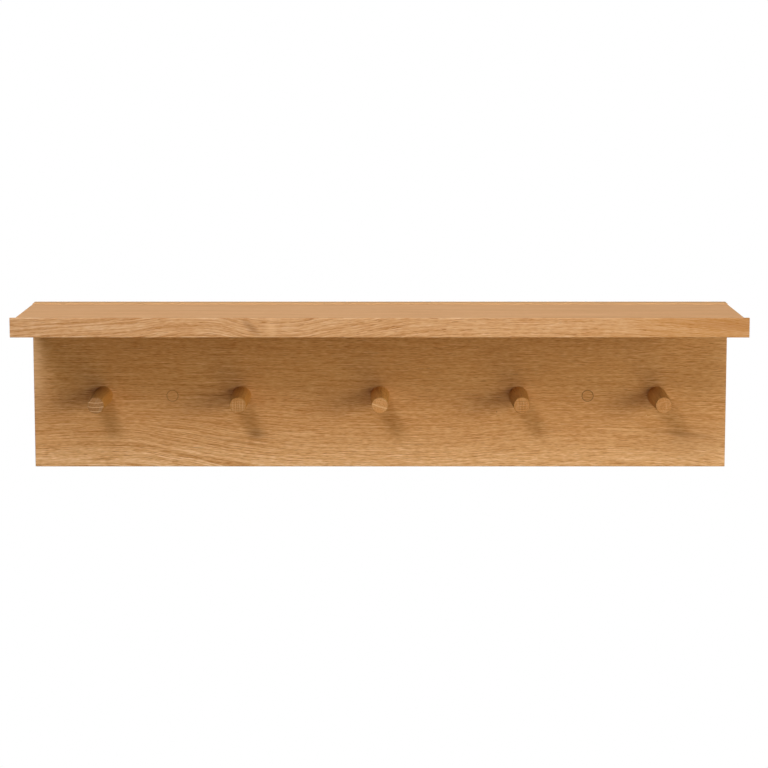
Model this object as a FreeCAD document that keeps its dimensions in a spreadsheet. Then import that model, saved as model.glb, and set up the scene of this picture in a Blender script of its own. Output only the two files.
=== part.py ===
"""A wall-hung oak peg rail with a shelf: one board, a shelf with a raised front lip, and five turned pegs.

The frame: X runs along the rail, Y into the wall, Z up. The origin is on the wall, halfway along the
rail, at the height of the peg line, where the two wall screws come through the board.
"""

import FreeCAD, Part
import os
import re
import Sketcher

SHEET = "Sizes"
FOLDER = "parts"
TOLERANCE = 0.001

# Every driving size, in millimetres, with what it measures
SIZES = [
    ("BoardLength", "750", "length of the board, the shelf and the lip"),
    ("BoardThickness", "16", "thickness of the back board"),
    ("BoardBelowPegs", "78", "from the peg line down to the board's bottom edge"),
    ("BoardRise", "1", "how far the board's top edge stands above the shelf"),
    ("BoardEase", "0.8", "radius of the board's eased edges"),
    ("ShelfHeight", "84", "from the peg line up to the shelf's underside"),
    ("ShelfDepth", "141", "from the board's front to the back of the lip"),
    ("ShelfThickness", "16", "thickness of the shelf"),
    ("ShelfEase", "0.6", "radius of the shelf's eased end edges"),
    ("LipThickness", "3", "thickness of the strip on the shelf's front edge"),
    ("LipRise", "4", "how far the strip stands above the shelf"),
    ("LipEase", "0.5", "radius of the strip's eased front edges"),
    ("PegCount", "5", "number of pegs"),
    ("PegInset", "75", "from each end of the board to the outer peg's axis"),
    ("PegReach", "62", "from the board's front to the peg's end"),
    ("PegBaseDiameter", "20.5", "peg's diameter at the board"),
    ("PegTipDiameter", "17.5", "peg's diameter at its end"),
    ("PegTipChamfer", "0.6", "chamfer round the peg's end"),
    ("TenonDiameter", "12", "diameter of the round tenon behind the peg"),
    ("TenonLength", "12", "length of the tenon"),
    ("TenonChamfer", "1", "chamfer on the tenon's end"),
    ("GlueGap", "0.05", "room for glue round a tenon, a dowel or a plug"),
    ("EndGap", "1", "room past the end of a tenon, a dowel or a screw"),
    ("WallScrewHole", "5", "diameter of the hole for a wall screw"),
    ("PlugDiameter", "12", "diameter of the plugs over the wall screws"),
    ("PlugThickness", "5", "thickness of a plug"),
    ("PlugChamfer", "0.3", "chamfer round the plug's front"),
    ("ScrewHeadRoom", "4", "depth behind a plug for the wall screw's head"),
    ("DowelCount", "5", "number of dowels between the shelf and the board"),
    ("DowelInset", "35", "from each end of the board to the outer dowel's axis"),
    ("DowelDiameter", "8", "diameter of a dowel"),
    ("DowelInBoard", "10", "length of a dowel inside the board"),
    ("DowelInShelf", "20", "length of a dowel inside the shelf"),
    ("DowelChamfer", "0.8", "chamfer on a dowel's ends"),
    ("ShelfScrewDiameter", "4", "diameter of the screws that hold the shelf"),
    ("ShelfScrewLength", "45", "length of such a screw, head and point included"),
    ("ShelfScrewHead", "8", "diameter of its countersunk head"),
    ("ShelfScrewRim", "0.4", "straight rim of the head before it tapers"),
    ("ShelfScrewPoint", "5", "length of its point"),
    ("ShelfScrewSink", "0.5", "how far the head lies below the board's back"),
    ("ShelfScrewGap", "0.1", "room round such a screw and its head"),
]

# Places and sizes that follow from the driving sizes
PEG_PITCH = "((BoardLength - 2 * PegInset) / (PegCount - 1))"
PEG_FIRST = "(PegInset - BoardLength / 2)"
PLUG_FIRST = f"({PEG_FIRST} + {PEG_PITCH} / 2)"
PLUG_SPACING = f"({PEG_PITCH} * (PegCount - 2))"
DOWEL_PITCH = "((BoardLength - 2 * DowelInset) / (DowelCount - 1))"
DOWEL_FIRST = "(DowelInset - BoardLength / 2)"
SHELF_SCREW_FIRST = f"({DOWEL_FIRST} + {DOWEL_PITCH} / 2)"
FIXING_HEIGHT = "(ShelfHeight + ShelfThickness / 2)"
HEAD_TAPER = "((ShelfScrewHead - ShelfScrewDiameter) / 2)"
HEAD_SEAT = "(ShelfScrewSink + ShelfScrewRim + ShelfScrewGap)"
SCREW_BORE = "(ShelfScrewDiameter + 2 * ShelfScrewGap)"
SCREW_IN_SHELF = "(ShelfScrewLength + ShelfScrewSink - BoardThickness)"

doc = FreeCAD.newDocument("PegRail")
sheet = doc.addObject("Spreadsheet::Sheet", SHEET)


def fill_sheet():
    """Writes each driving size into the sheet, with its alias and what it measures."""
    for row, (alias, size, meaning) in enumerate(SIZES, start=1):
        sheet.set(f"A{row}", alias)
        sheet.set(f"B{row}", size)
        sheet.set(f"C{row}", meaning)
        sheet.setAlias(f"B{row}", alias)
    doc.recompute()


def bound(expression):
    """The expression with each size read from the sheet. A size's name starts with a capital."""
    return re.sub(r"\b[A-Z]\w*", lambda name: f"{SHEET}.{name.group()}", expression)


def value(expression):
    """What the expression comes to, as a plain number."""
    return float(sheet.evalExpression(bound(expression)))


def bind(target, name, expression):
    """Ties a property of target to an expression of the sheet's sizes."""
    target.setExpression(name, bound(expression))


def new_body(label, x="0", y="0", z="0"):
    """A body with a label of its own, placed by three expressions."""
    body = doc.addObject("PartDesign::Body", label)
    body.Label = label
    for axis, expression in (("x", x), ("y", y), ("z", z)):
        bind(body, f"Placement.Base.{axis}", expression)
    return body


def origin_feature(body, role):
    """One of the body's own origin planes or axes."""
    return next(feature for feature in body.Origin.OriginFeatures if feature.Role == role)


def new_sketch(body, name, plane, offset="0"):
    """An empty sketch on an origin plane of the body, moved along the plane's normal by offset."""
    sketch = body.newObject("Sketcher::SketchObject", name)
    sketch.AttachmentSupport = [(origin_feature(body, plane), "")]
    sketch.MapMode = "FlatFace"
    bind(sketch, "AttachmentOffset.Base.z", offset)
    return sketch


def pin_point(sketch, geometry, point, name, place):
    """Holds a point of the sketch at place, two expressions measured from the sketch's origin."""
    for axis, expression in zip("XY", place):
        size = value(expression)
        ends = (-1, 1, geometry, point)
        if size < 0:
            ends = (geometry, point, -1, 1)
            expression = f"-({expression})"
        index = sketch.addConstraint(Sketcher.Constraint(f"Distance{axis}", *ends, abs(size)))
        sketch.renameConstraint(index, f"{name}{axis}")
        bind(sketch, f"Constraints.{name}{axis}", expression)


def draw_outline(sketch, corners):
    """Draws a closed outline of straight lines through the corners."""
    points = [FreeCAD.Vector(value(x), value(y), 0) for x, y in corners]
    for start, end in zip(points, points[1:] + points[:1]):
        sketch.addGeometry(Part.LineSegment(start, end), False)
    for index, corner in enumerate(corners):
        following = (index + 1) % len(corners)
        sketch.addConstraint(Sketcher.Constraint("Coincident", index, 2, following, 1))
        pin_point(sketch, index, 1, f"Corner{index}", corner)


def draw_circle(sketch, place, diameter):
    """Draws one circle at place."""
    x, y = place
    centre = FreeCAD.Vector(value(x), value(y), 0)
    sketch.addGeometry(Part.Circle(centre, FreeCAD.Vector(0, 0, 1), value(diameter) / 2), False)
    pin_point(sketch, 0, 3, "Centre", place)
    index = sketch.addConstraint(Sketcher.Constraint("Diameter", 0, value(diameter)))
    sketch.renameConstraint(index, "Bore")
    bind(sketch, "Constraints.Bore", diameter)


def pad(body, corners, plane, length):
    """Raises an outline of straight lines along the normal of its plane."""
    sketch = new_sketch(body, f"{body.Label}_outline", plane)
    draw_outline(sketch, corners)
    feature = body.newObject("PartDesign::Pad", f"{body.Label}_pad")
    feature.Profile = sketch
    bind(feature, "Length", length)
    return feature


def turn(body, corners):
    """Turns half of a section, drawn from the Y axis outwards, once round that axis."""
    sketch = new_sketch(body, f"{body.Label}_section", "XY_Plane")
    draw_outline(sketch, corners)
    feature = body.newObject("PartDesign::Revolution", f"{body.Label}_turned")
    feature.Profile = sketch
    feature.ReferenceAxis = (sketch, ["V_Axis"])


def along(axis):
    """A test for straight edges that run along an axis: 0, 1 or 2 for X, Y or Z."""

    def test(edge):
        start, end = edge.Vertexes[0].Point, edge.Vertexes[-1].Point
        return abs(end[axis] - start[axis]) > edge.Length - TOLERANCE

    return test


def on_front(y):
    """A test for edges that lie in the plane across Y at the expression y."""

    def test(edge):
        box = edge.BoundBox
        return abs(box.YMin - value(y)) < TOLERANCE and abs(box.YMax - value(y)) < TOLERANCE

    return test


def ease(body, feature, radius, wanted=lambda edge: True):
    """Rounds the edges of feature that the test wanted picks."""
    doc.recompute()
    edges = feature.Shape.Edges
    fillet = body.newObject("PartDesign::Fillet", f"{body.Label}_eased")
    fillet.Base = (feature, [f"Edge{n}" for n, edge in enumerate(edges, start=1) if wanted(edge)])
    bind(fillet, "Radius", radius)
    return fillet


def drill(body, name, place, diameter, depth="", face="0", inwards=True, cut=None):
    """Drills one hole across the rail, at place in the plane face in front of the body's origin.

    inwards drills towards the wall, and otherwise towards the front. With no depth the hole goes
    right through. cut is the kind and width of the wider mouth that takes a head or a plug, and the
    depth of a counterbore: a countersink runs in from the face at 45 degrees.
    """
    sketch = new_sketch(body, f"{name}_place", "XZ_Plane", face)
    draw_circle(sketch, place, diameter)
    doc.recompute()
    before = body.Shape.Volume
    hole = body.newObject("PartDesign::Hole", name)
    hole.Profile = sketch
    doc.recompute()
    hole.DrillPoint = "Flat"
    hole.Reversed = not inwards
    hole.DepthType = "Dimension" if depth else "ThroughAll"
    bind(hole, "Diameter", diameter)
    if depth:
        bind(hole, "Depth", depth)
    if cut:
        kind, width, *deep = cut
        hole.HoleCutType = kind
        hole.HoleCutCustomValues = True
        bind(hole, "HoleCutDiameter", width)
        for size in deep:
            bind(hole, "HoleCutDepth", size)
    doc.recompute()
    if body.Shape.Volume > before - TOLERANCE:
        raise RuntimeError(f"{name} cuts nothing out of {body.Label}")
    return hole


def row(body, hole, spacing, number):
    """Repeats a hole along the rail."""
    pattern = body.newObject("PartDesign::LinearPattern", f"{hole.Name}_row")
    pattern.Originals = [hole]
    pattern.Direction = (origin_feature(body, "X_Axis"), [""])
    pattern.Mode = "Spacing"
    bind(pattern, "Offset", spacing)
    bind(pattern, "Occurrences", number)
    body.Tip = pattern
    doc.recompute()
    return pattern


def back_board():
    """The board: eased all round, drilled for the pegs, the wall screws and what holds the shelf."""
    body = new_body("back_board")
    half = "BoardLength / 2"
    top = "(ShelfHeight + ShelfThickness + BoardRise)"
    corners = [
        (f"-{half}", "-BoardBelowPegs"),
        (half, "-BoardBelowPegs"),
        (half, top),
        (f"-{half}", top),
    ]
    block = pad(body, corners, "XZ_Plane", "BoardThickness")
    ease(body, block, "BoardEase")
    mortise = drill(
        body,
        "peg_mortise",
        (PEG_FIRST, "0"),
        "TenonDiameter + 2 * GlueGap",
        depth="TenonLength + EndGap",
        face="BoardThickness",
    )
    row(body, mortise, PEG_PITCH, "PegCount")
    wall_hole = drill(
        body,
        "wall_screw_hole",
        (PLUG_FIRST, "0"),
        "WallScrewHole",
        face="BoardThickness",
        cut=("Counterbore", "PlugDiameter + 2 * GlueGap", "PlugThickness + ScrewHeadRoom"),
    )
    row(body, wall_hole, PLUG_SPACING, "2")
    dowel_hole = drill(
        body,
        "board_dowel_hole",
        (DOWEL_FIRST, FIXING_HEIGHT),
        "DowelDiameter + 2 * GlueGap",
        depth="DowelInBoard + EndGap",
        face="BoardThickness",
    )
    row(body, dowel_hole, DOWEL_PITCH, "DowelCount")
    screw_hole = drill(
        body,
        "shelf_screw_hole",
        (SHELF_SCREW_FIRST, FIXING_HEIGHT),
        SCREW_BORE,
        inwards=False,
        cut=("Countersink", f"ShelfScrewHead + 2 * {HEAD_SEAT}"),
    )
    row(body, screw_hole, DOWEL_PITCH, "DowelCount - 1")
    return body


def shelf_board():
    """The shelf: a plain board with eased ends, drilled in its back edge."""
    body = new_body("shelf_board", y="-BoardThickness", z="ShelfHeight")
    half = "BoardLength / 2"
    corners = [
        (f"-{half}", "-ShelfDepth"),
        (half, "-ShelfDepth"),
        (half, "0"),
        (f"-{half}", "0"),
    ]
    block = pad(body, corners, "XY_Plane", "ShelfThickness")
    ease(body, block, "ShelfEase", along(1))
    middle = "ShelfThickness / 2"
    dowel_hole = drill(
        body,
        "shelf_dowel_hole",
        (DOWEL_FIRST, middle),
        "DowelDiameter + 2 * GlueGap",
        depth="DowelInShelf + EndGap",
        inwards=False,
    )
    row(body, dowel_hole, DOWEL_PITCH, "DowelCount")
    screw_hole = drill(
        body,
        "shelf_pilot_hole",
        (SHELF_SCREW_FIRST, middle),
        SCREW_BORE,
        depth=f"{SCREW_IN_SHELF} + EndGap",
        inwards=False,
    )
    row(body, screw_hole, DOWEL_PITCH, "DowelCount - 1")
    return body


def front_lip():
    """The strip along the shelf's front edge, taller than the shelf, with its front edges eased."""
    body = new_body("front_lip", y="-(BoardThickness + ShelfDepth)", z="ShelfHeight")
    half = "BoardLength / 2"
    top = "ShelfThickness + LipRise"
    corners = [(f"-{half}", "0"), (half, "0"), (half, top), (f"-{half}", top)]
    strip = pad(body, corners, "XZ_Plane", "LipThickness")
    ease(body, strip, "LipEase", on_front("-LipThickness"))
    return body


def peg(number):
    """A turned peg: a round tenon, a shoulder on the board, and a shaft that tapers to a flat end."""
    body = new_body(
        f"peg_{number}",
        x=f"{PEG_FIRST} + {number - 1} * {PEG_PITCH}",
        y="-BoardThickness",
    )
    tenon, tip = "TenonDiameter / 2", "PegTipDiameter / 2"
    section = [
        ("0", "TenonLength"),
        (f"{tenon} - TenonChamfer", "TenonLength"),
        (tenon, "TenonLength - TenonChamfer"),
        (tenon, "0"),
        ("PegBaseDiameter / 2", "0"),
        (tip, "PegTipChamfer - PegReach"),
        (f"{tip} - PegTipChamfer", "-PegReach"),
        ("0", "-PegReach"),
    ]
    turn(body, section)
    return body


def cover_plug(side, x):
    """A round plug, flush with the board's front, in the mouth of a wall screw's hole."""
    body = new_body(f"cover_plug_{side}", x=x, y="-BoardThickness")
    radius = "PlugDiameter / 2"
    section = [
        ("0", "0"),
        (f"{radius} - PlugChamfer", "0"),
        (radius, "PlugChamfer"),
        (radius, "PlugThickness"),
        ("0", "PlugThickness"),
    ]
    turn(body, section)
    return body


def shelf_dowel(number):
    """A chamfered dowel, half in the board and half in the shelf's back edge."""
    body = new_body(
        f"shelf_dowel_{number}",
        x=f"{DOWEL_FIRST} + {number - 1} * {DOWEL_PITCH}",
        y="-BoardThickness",
        z=FIXING_HEIGHT,
    )
    radius = "DowelDiameter / 2"
    section = [
        ("0", "DowelInBoard"),
        (f"{radius} - DowelChamfer", "DowelInBoard"),
        (radius, "DowelInBoard - DowelChamfer"),
        (radius, "DowelChamfer - DowelInShelf"),
        (f"{radius} - DowelChamfer", "-DowelInShelf"),
        ("0", "-DowelInShelf"),
    ]
    turn(body, section)
    return body


def shelf_screw(number):
    """A countersunk screw from the board's back into the shelf, drawn without its thread."""
    body = new_body(
        f"shelf_screw_{number}",
        x=f"{SHELF_SCREW_FIRST} + {number - 1} * {DOWEL_PITCH}",
        y="-ShelfScrewSink",
        z=FIXING_HEIGHT,
    )
    head, shank = "ShelfScrewHead / 2", "ShelfScrewDiameter / 2"
    section = [
        ("0", "0"),
        (head, "0"),
        (head, "-ShelfScrewRim"),
        (shank, f"-(ShelfScrewRim + {HEAD_TAPER})"),
        (shank, "ShelfScrewPoint - ShelfScrewLength"),
        ("0", "-ShelfScrewLength"),
    ]
    turn(body, section)
    return body


def export(bodies):
    """Checks every object of the document and each body's solid, then writes one STEP file per body."""
    doc.recompute()
    for item in doc.Objects:
        faults = {"Invalid", "Error"} & set(item.State)
        if faults:
            raise RuntimeError(f"{item.Label} is {faults}")
    for body in bodies:
        if body.Shape.isNull() or not body.Shape.isValid() or len(body.Shape.Solids) != 1:
            raise RuntimeError(f"{body.Label} isn't one valid solid")
    os.makedirs(FOLDER, exist_ok=True)
    for body in bodies:
        body.Shape.exportStep(os.path.join(FOLDER, f"{body.Label}.step"))
        box = body.Shape.BoundBox
        print(f"{body.Label}: {box.XLength:.2f} x {box.YLength:.2f} x {box.ZLength:.2f} mm")


fill_sheet()
pegs = [peg(number) for number in range(1, int(value("PegCount")) + 1)]
plugs = [cover_plug("left", PLUG_FIRST), cover_plug("right", f"{PLUG_FIRST} + {PLUG_SPACING}")]
dowels = [shelf_dowel(number) for number in range(1, int(value("DowelCount")) + 1)]
screws = [shelf_screw(number) for number in range(1, int(value("DowelCount")))]
export([back_board(), shelf_board(), front_lip()] + pegs + plugs + dowels + screws)
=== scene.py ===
"""The looks of a wall-hung oak peg rail with a shelf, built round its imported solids.

The frame: X runs along the rail, Y into the wall, Z up, with the origin on the wall at the height of
the pegs. Lengths are in metres, or in millimetres where a name ends in _mm.
"""

import logging
import math
from dataclasses import dataclass, replace
from enum import Enum

import bpy
import numpy as np
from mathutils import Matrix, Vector


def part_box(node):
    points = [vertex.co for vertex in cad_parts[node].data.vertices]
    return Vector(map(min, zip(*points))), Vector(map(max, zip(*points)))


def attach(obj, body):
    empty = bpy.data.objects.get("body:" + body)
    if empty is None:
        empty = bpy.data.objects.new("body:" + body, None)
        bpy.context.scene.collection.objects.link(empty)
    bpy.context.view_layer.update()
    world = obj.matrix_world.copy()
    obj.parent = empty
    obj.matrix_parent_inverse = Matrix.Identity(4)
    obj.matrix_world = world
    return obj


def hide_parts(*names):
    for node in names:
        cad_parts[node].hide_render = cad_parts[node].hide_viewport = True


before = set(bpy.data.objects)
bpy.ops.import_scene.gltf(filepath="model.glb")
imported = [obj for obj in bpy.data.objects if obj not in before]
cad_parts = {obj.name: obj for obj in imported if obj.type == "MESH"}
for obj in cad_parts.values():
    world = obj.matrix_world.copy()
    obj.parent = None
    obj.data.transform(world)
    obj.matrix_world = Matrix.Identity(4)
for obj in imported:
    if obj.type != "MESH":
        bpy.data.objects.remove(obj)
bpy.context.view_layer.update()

MM = 0.001
BODY = "root"
MATH = "ShaderNodeMath"
VECTOR_MATH = "ShaderNodeVectorMath"
MAP_RANGE = "ShaderNodeMapRange"
NOISE = "ShaderNodeTexNoise"
MIX = "ShaderNodeMix"
REPORT = logging.getLogger("peg_rail")

# A mark reaches this far through its piece, in metres, so that its depth never ends it.
ANY_DEPTH = 1000.0
# How much of its red, green and blue the wood gains where it is paler.
PALER_WOOD = (0.7, 1.12, 1.95)
# How dark a year's wood is from the inner edge of its ring to the outer one, and the mean of that.
YEAR = ((0, 0.25), (0.07, 1), (0.3, 0.7), (0.55, 0.2), (1, 0.05))
YEAR_MEAN = 0.42
# A turned surface shows a crisp edge where it bends by more than this.
SHARP_EDGE = math.radians(38)

Tree = bpy.types.NodeTree
Socket = bpy.types.NodeSocket
Material = bpy.types.Material
Piece = bpy.types.Object
Pair = tuple[float, float]
Triple = tuple[float, float, float]
Colour = tuple[float, float, float, float]


class Grain(Enum):
    """Which way the wood's fibres run: their axis, and the turn about Z that lays them along X."""

    ALONG_RAIL = ((1.0, 0.0, 0.0), 0.0)
    ALONG_PEG = ((0.0, 1.0, 0.0), 90.0)


def linear(colour: str) -> Colour:
    """Turns an sRGB colour into the linear one that a shader takes.

    Args:
        colour: the colour as #RRGGBB.

    Returns:
        Red, green, blue and an alpha of one.
    """
    parts = np.array([int(colour[place:place + 2], 16) / 255 for place in (1, 3, 5)])
    shares = np.where(parts > 0.04045, ((parts + 0.055) / 1.055) ** 2.4, parts / 12.92)
    return (*shares.tolist(), 1.0)


def new_material(name: str) -> tuple[Material, Tree]:
    """Makes a material with an empty node tree.

    Args:
        name: the material's name.

    Returns:
        The material and its node tree.
    """
    material = bpy.data.materials.new(name)
    material.use_nodes = True
    material.node_tree.nodes.clear()
    return material, material.node_tree


def add_node(
    tree: Tree,
    kind: str,
    inputs: dict | None = None,
    stops: tuple[tuple[float, Colour], ...] = (),
    points: tuple[Pair, ...] = (),
    **settings: object,
) -> bpy.types.Node:
    """Adds one node with its settings, values and links.

    Args:
        tree: the node tree that takes it.
        kind: the node's type.
        inputs: each input's name or number, with a value or the output that feeds it.
        stops: places and colours of a colour ramp.
        points: places and heights of a curve.
        settings: the node's own properties.

    Returns:
        The new node.
    """
    node = tree.nodes.new(kind)
    for name, setting in settings.items():
        setattr(node, name, setting)
    for key, source in (inputs or {}).items():
        if isinstance(source, Socket):
            tree.links.new(source, node.inputs[key])
        else:
            node.inputs[key].default_value = source
    for number, (place, colour) in enumerate(stops):
        ramp = node.color_ramp.elements
        stop = ramp[number] if number < 2 else ramp.new(place)
        stop.position = place
        stop.color = colour
    if points:
        curve = node.mapping.curves[0].points
        for number, spot in enumerate((points[0], points[-1])):
            curve[number].location = spot
        for spot in points[1:-1]:
            curve.new(*spot)
        node.mapping.update()
    return node


def traced(tree: Tree, share: Socket, points: tuple[Pair, ...]) -> Socket | float:
    """Follows a smooth curve through a few points.

    Args:
        tree: the material's node tree.
        share: the output with the place along the curve, from 0 to 1.
        points: pairs of a place and a height, where heights may be below zero.

    Returns:
        The output with the height, or zero where there are no points.
    """
    if not points:
        return 0.0
    reach = max(abs(height) for _, height in points)
    spots = tuple((place, 0.5 + height / reach / 2) for place, height in points)
    curve = add_node(tree, "ShaderNodeFloatCurve", {"Value": share}, points=spots).outputs[0]
    return add_node(tree, MAP_RANGE, {"Value": curve, "To Min": -reach, "To Max": reach}).outputs[0]


def grain_noise(tree: Tree, place: Socket, size_mm: Pair, roughness: float = 0.6) -> bpy.types.Node:
    """Lays a soft noise over the log, stretched along the grain.

    Args:
        tree: the material's node tree.
        place: the output with the place in the log, in mm.
        size_mm: the pattern's size along and across the grain.
        roughness: the strength of its finer layer.

    Returns:
        The noise node, whose outputs lie around one half.
    """
    along, across = size_mm
    cell = (1 / along, 1 / across, 1 / across)
    counted = add_node(tree, VECTOR_MATH, {0: place, 1: cell}, operation="MULTIPLY").outputs[0]
    inputs = {"Vector": counted, "Scale": 1, "Detail": 1, "Roughness": roughness}
    return add_node(tree, NOISE, inputs)


@dataclass(frozen=True)
class Log:
    """How a piece lies in the log that it was sawn from. The heart is the centre of the year rings.

    heart_mm is the heart's place across the grain, measured from centre_mm, and turn_deg turns the
    log about the grain. rise is how far the heart has wandered up, as pairs of a place along the
    grain, from 0 to 1 over span_mm, and a distance in mm. fan gives two heights in mm and a share of the
    rise at each, so that the rings can spread like a fan. edges_mm are the heights of the piece's
    lower and upper edge. The fibres follow the rings' drift only in part, by the share follow, so the
    rings slant across them. The grain wanders by wander_mm in bends of the size bend_mm, and by
    waver of that in small ones of the size waver_mm.
    """

    centre_mm: Triple
    heart_mm: Pair
    grain: Grain = Grain.ALONG_RAIL
    turn_deg: float = 0.0
    ring_mm: float = 2.6
    wander_mm: float = 2.0
    bend_mm: Pair = (260.0, 70.0)
    waver: float = 0.09
    waver_mm: Pair = (38.0, 11.0)
    span_mm: float = 750.0
    rise: tuple[Pair, ...] = ()
    edges_mm: Pair = (-100.0, 100.0)
    fan: tuple[Pair, ...] = ()
    follow: float = 0.35

    def lay(self, tree: Tree) -> tuple[Socket, Socket]:
        """Lays the object's coordinates in the log.

        Args:
            tree: the material's node tree.

        Returns:
            The outputs with the place among the rings and the place among the fibres, in mm, each
            with X along the grain, and Y and Z from the heart.
        """
        centre = [length * MM for length in self.centre_mm]
        place = add_node(tree, "ShaderNodeTexCoord").outputs["Object"]
        centred = add_node(tree, VECTOR_MATH, {0: place, 1: centre}, operation="SUBTRACT").outputs[0]
        (x, y, _), about_z = self.grain.value
        turns = [math.radians(turn) for turn in (x * self.turn_deg, y * self.turn_deg, about_z)]
        inputs = {"Vector": centred, "Rotation": turns, "Scale": (1 / MM, 1 / MM, 1 / MM)}
        inputs["Location"] = (0, -self.heart_mm[0], -self.heart_mm[1])
        straight = add_node(tree, "ShaderNodeMapping", inputs).outputs[0]
        split = add_node(tree, "ShaderNodeSeparateXYZ", {0: straight}).outputs
        half = self.span_mm / 2
        ends = {"Value": split["X"], "From Min": -half, "From Max": half}
        along = add_node(tree, MAP_RANGE, ends).outputs[0]
        rise = traced(tree, along, self.rise)
        if self.fan:
            (low, low_share), (high, high_share) = self.fan
            base = self.centre_mm[2] + self.heart_mm[1]
            ends = {"Value": split["Z"], "From Min": low - base, "From Max": high - base}
            ends |= {"To Min": low_share, "To Max": high_share}
            spread = add_node(tree, MAP_RANGE, ends, interpolation_type="SMOOTHSTEP").outputs[0]
            rise = add_node(tree, MATH, {0: rise, 1: spread}, operation="MULTIPLY").outputs[0]
        drift = add_node(tree, "ShaderNodeCombineXYZ", {"Z": rise}).outputs[0]
        wandering = self.wobble(tree, straight, self.bend_mm, self.wander_mm)
        places = []
        for share in (1.0, self.follow):
            shifts = {0: drift, 1: (0, -share, -share), 2: wandering}
            drifted = add_node(tree, VECTOR_MATH, shifts, operation="MULTIPLY_ADD").outputs[0]
            places.append(self.wobble(tree, drifted, self.waver_mm, self.wander_mm * self.waver))
        return places[0], places[1]

    @staticmethod
    def wobble(tree: Tree, place: Socket, size_mm: Pair, reach_mm: float) -> Socket:
        """Bends the fibres a little from side to side.

        Args:
            tree: the material's node tree.
            place: the output with the place to bend.
            size_mm: the length of a bend along and across the grain.
            reach_mm: how far it pushes.

        Returns:
            The output with the bent place.
        """
        noise = grain_noise(tree, place, size_mm, roughness=0.5).outputs["Color"]
        middle, push = (0.5, 0.5, 0.5), (0, 2 * reach_mm, 2 * reach_mm)
        aside = add_node(tree, VECTOR_MATH, {0: noise, 1: middle}, operation="SUBTRACT").outputs[0]
        pushes = {0: aside, 1: push, 2: place}
        return add_node(tree, VECTOR_MATH, pushes, operation="MULTIPLY_ADD").outputs[0]


@dataclass(frozen=True)
class Mark:
    """A local mark in one face, such as a pin knot, a pale line or a glue line.

    place_mm is its place in X and Z, and size_mm its half width and half height. A mark with a rim is
    a ring, whose half thickness is that share of its size. turn_deg turns its right end down, and
    facing is the way that the face looks, which is away from the wall unless it says otherwise. fade
    says how far a face must look that way to have none of the mark, and to have all of it. Some marks
    are painted light and painted shade.
    """

    place_mm: Pair
    size_mm: Pair
    colour: str
    strength: float
    rim: float = 0.0
    turn_deg: float = 0.0
    facing: Triple = (0.0, -1.0, 0.0)
    fade: Pair = (0.3, 0.8)

    def lay(self, tree: Tree, colour: Socket) -> Socket:
        """Lays the mark over a colour.

        Args:
            tree: the material's node tree.
            colour: the output with the colour below.

        Returns:
            The output with the marked colour.
        """
        place = add_node(tree, "ShaderNodeTexCoord").outputs["Object"]
        across, up = (length * MM for length in self.place_mm)
        wide, high = (length * MM for length in self.size_mm)
        turn = math.radians(self.turn_deg)
        inputs = {"Vector": place, "Location": (across, 0, up), "Rotation": (0, turn, 0)}
        inputs["Scale"] = (wide, ANY_DEPTH, high)
        near = add_node(tree, "ShaderNodeMapping", inputs, vector_type="TEXTURE").outputs[0]
        reach = add_node(tree, VECTOR_MATH, {0: near}, operation="LENGTH").outputs["Value"]
        if self.rim:
            aside = add_node(tree, MATH, {0: reach, 1: 1.0}, operation="SUBTRACT").outputs[0]
            reach = add_node(tree, MATH, {0: aside}, operation="ABSOLUTE").outputs[0]
        limits = {"Value": reach, "From Max": self.rim or 1.0, "To Min": self.strength, "To Max": 0.0}
        strength = add_node(tree, MAP_RANGE, limits, interpolation_type="SMOOTHSTEP").outputs[0]
        normal = add_node(tree, "ShaderNodeNewGeometry").outputs["Normal"]
        looks = {0: normal, 1: self.facing}
        front = add_node(tree, VECTOR_MATH, looks, operation="DOT_PRODUCT").outputs["Value"]
        none, full = self.fade
        limits = {"Value": front, "From Min": none, "From Max": full, "To Max": strength}
        share = add_node(tree, MAP_RANGE, limits).outputs[0]
        colours = {"Factor": share, 6: colour, 7: linear(self.colour)}
        return add_node(tree, MIX, colours, data_type="RGBA").outputs[2]


@dataclass(frozen=True)
class Layer:
    """One layer of the grain: how far it shifts the tone, and its size along and across the grain."""

    depth: float
    size_mm: Pair


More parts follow.
